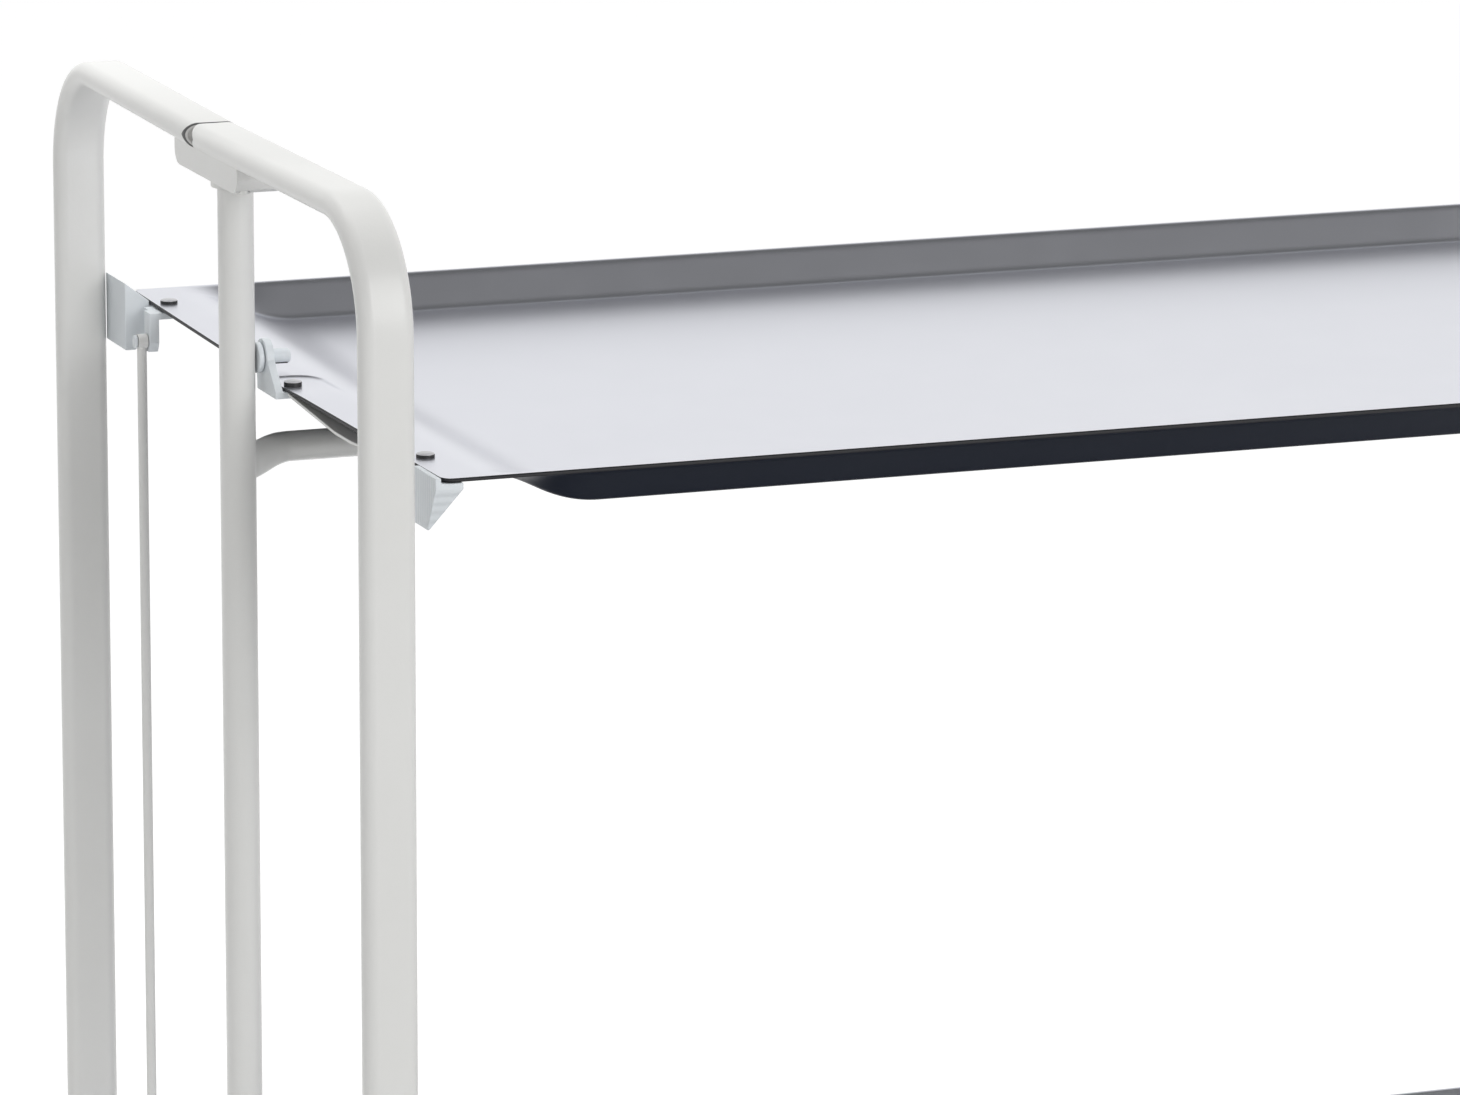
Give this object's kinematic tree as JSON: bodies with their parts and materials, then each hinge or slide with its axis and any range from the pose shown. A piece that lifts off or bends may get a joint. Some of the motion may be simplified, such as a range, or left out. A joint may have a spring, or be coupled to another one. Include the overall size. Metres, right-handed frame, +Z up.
{
  "type": "folding serving trolley",
  "caption": "Folding serving trolley: dished trays that tilt upright between two posts, oval-tube end frames that swing out on pins, and swivel casters.",
  "frame": {"origin": "on the floor, under the middle of the trolley", "axes": "+X along the trolley towards its right end, +Y towards its back, +Z up"},
  "size_m": [0.7382, 0.4256, 0.71],
  "materials": {
    "frame_paint": "light grey paint, satin",
    "white_plastic": "white moulded plastic",
    "tray_sheet": "satin, dark underneath",
    "zinc_steel": "zinc plated",
    "grey_tyre": "matt"
  },
  "bodies": {
    "centre_frame": {"post_left": "frame_paint", "top_saddle_left": "frame_paint", "foot_saddle_left": "frame_paint", "hinge_pin_left_front": "zinc_steel", "hinge_pin_left_back": "zinc_steel", "post_right": "frame_paint", "top_saddle_right": "frame_paint", "foot_saddle_right": "frame_paint", "hinge_pin_right_front": "zinc_steel", "hinge_pin_right_back": "zinc_steel", "rail_upper": "frame_paint", "pivot_bolt_upper_left": "white_plastic", "pivot_bolt_upper_right": "white_plastic", "rail_lower": "frame_paint", "pivot_bolt_lower_left": "white_plastic", "pivot_bolt_lower_right": "white_plastic"},
    "tray_upper_body": {"tray_upper": "tray_sheet", "pivot_ear_upper_left": "white_plastic", "pivot_ear_upper_right": "white_plastic", "end_strip_upper_left": "frame_paint", "end_strip_upper_right": "frame_paint", "corner_block_upper_left": "white_plastic", "corner_block_upper_right": "white_plastic", "rod_hanger_upper": "white_plastic"},
    "tray_lower_body": {"tray_lower": "tray_sheet", "pivot_ear_lower_left": "white_plastic", "pivot_ear_lower_right": "white_plastic", "end_strip_lower_left": "frame_paint", "end_strip_lower_right": "frame_paint", "corner_block_lower_left": "white_plastic", "corner_block_lower_right": "white_plastic", "rod_hanger_lower": "white_plastic"},
    "link_rod_body": {"link_rod": "frame_paint"},
    "half_frame_left_front": {"frame_tube_left_front": "frame_paint", "lower_strut_left_front": "frame_paint"},
    "caster_left_front": {"caster_fork_left_front": "zinc_steel", "wheel_axle_left_front": "zinc_steel"},
    "wheel_body_left_front": {"wheel_left_front": "grey_tyre"},
    "half_frame_left_back": {"frame_tube_left_back": "frame_paint", "lower_strut_left_back": "frame_paint", "corner_rest_upper_left": "white_plastic", "corner_rest_lower_left": "white_plastic"},
    "caster_left_back": {"caster_fork_left_back": "zinc_steel", "wheel_axle_left_back": "zinc_steel"},
    "wheel_body_left_back": {"wheel_left_back": "grey_tyre"},
    "half_frame_right_front": {"frame_tube_right_front": "frame_paint", "lower_strut_right_front": "frame_paint"},
    "caster_right_front": {"caster_fork_right_front": "zinc_steel", "wheel_axle_right_front": "zinc_steel"},
    "wheel_body_right_front": {"wheel_right_front": "grey_tyre"},
    "half_frame_right_back": {"frame_tube_right_back": "frame_paint", "lower_strut_right_back": "frame_paint", "corner_rest_upper_right": "white_plastic", "corner_rest_lower_right": "white_plastic"},
    "caster_right_back": {"caster_fork_right_back": "zinc_steel", "wheel_axle_right_back": "zinc_steel"},
    "wheel_body_right_back": {"wheel_right_back": "grey_tyre"}
  },
  "joints": [
    {"name": "tray_upper_tilt", "type": "hinge", "parent": "centre_frame", "child": "tray_upper_body", "pos_m": [0, 0, 0.617], "axis": [1, 0, 0], "range_deg": [0, 90]},
    {"name": "tray_lower_tilt", "type": "hinge", "parent": "centre_frame", "child": "tray_lower_body", "pos_m": [0, 0, 0.212], "axis": [1, 0, 0], "range_deg": [0, 90]},
    {"name": "link_rod_pivot", "type": "hinge", "parent": "tray_upper_body", "child": "link_rod_body", "pos_m": [-0.3418, 0.158, 0.5944], "axis": [1, 0, 0], "range_deg": [-90, 0]},
    {"name": "frame_swing_left_front", "type": "hinge", "parent": "centre_frame", "child": "half_frame_left_front", "pos_m": [-0.35803, -0.036, 0], "axis": [0, 0, -1], "range_deg": [0, 90]},
    {"name": "caster_swivel_left_front", "type": "hinge", "parent": "half_frame_left_front", "child": "caster_left_front", "pos_m": [-0.35546, -0.2, 0.048], "axis": [0, 0, 1], "continuous": true},
    {"name": "wheel_roll_left_front", "type": "hinge", "parent": "caster_left_front", "child": "wheel_body_left_front", "pos_m": [-0.34346, -0.2, 0.02], "axis": [0, 1, 0], "continuous": true},
    {"name": "frame_swing_left_back", "type": "hinge", "parent": "centre_frame", "child": "half_frame_left_back", "pos_m": [-0.35803, 0.036, 0], "axis": [0, 0, 1], "range_deg": [0, 90]},
    {"name": "caster_swivel_left_back", "type": "hinge", "parent": "half_frame_left_back", "child": "caster_left_back", "pos_m": [-0.35546, 0.2, 0.048], "axis": [0, 0, 1], "continuous": true},
    {"name": "wheel_roll_left_back", "type": "hinge", "parent": "caster_left_back", "child": "wheel_body_left_back", "pos_m": [-0.34346, 0.2, 0.02], "axis": [0, 1, 0], "continuous": true},
    {"name": "frame_swing_right_front", "type": "hinge", "parent": "centre_frame", "child": "half_frame_right_front", "pos_m": [0.35803, -0.036, 0], "axis": [0, 0, 1], "range_deg": [0, 90]},
    {"name": "caster_swivel_right_front", "type": "hinge", "parent": "half_frame_right_front", "child": "caster_right_front", "pos_m": [0.35546, -0.2, 0.048], "axis": [0, 0, 1], "continuous": true},
    {"name": "wheel_roll_right_front", "type": "hinge", "parent": "caster_right_front", "child": "wheel_body_right_front", "pos_m": [0.34346, -0.2, 0.02], "axis": [0, 1, 0], "continuous": true},
    {"name": "frame_swing_right_back", "type": "hinge", "parent": "centre_frame", "child": "half_frame_right_back", "pos_m": [0.35803, 0.036, 0], "axis": [0, 0, -1], "range_deg": [0, 90]},
    {"name": "caster_swivel_right_back", "type": "hinge", "parent": "half_frame_right_back", "child": "caster_right_back", "pos_m": [0.35546, 0.2, 0.048], "axis": [0, 0, 1], "continuous": true},
    {"name": "wheel_roll_right_back", "type": "hinge", "parent": "caster_right_back", "child": "wheel_body_right_back", "pos_m": [0.34346, 0.2, 0.02], "axis": [0, 1, 0], "continuous": true}
  ],
  "couplings": [
    {"joint": "tray_lower_tilt", "follows": "tray_upper_tilt", "ratio": 1},
    {"joint": "link_rod_pivot", "follows": "tray_upper_tilt", "ratio": -1}
  ]
}
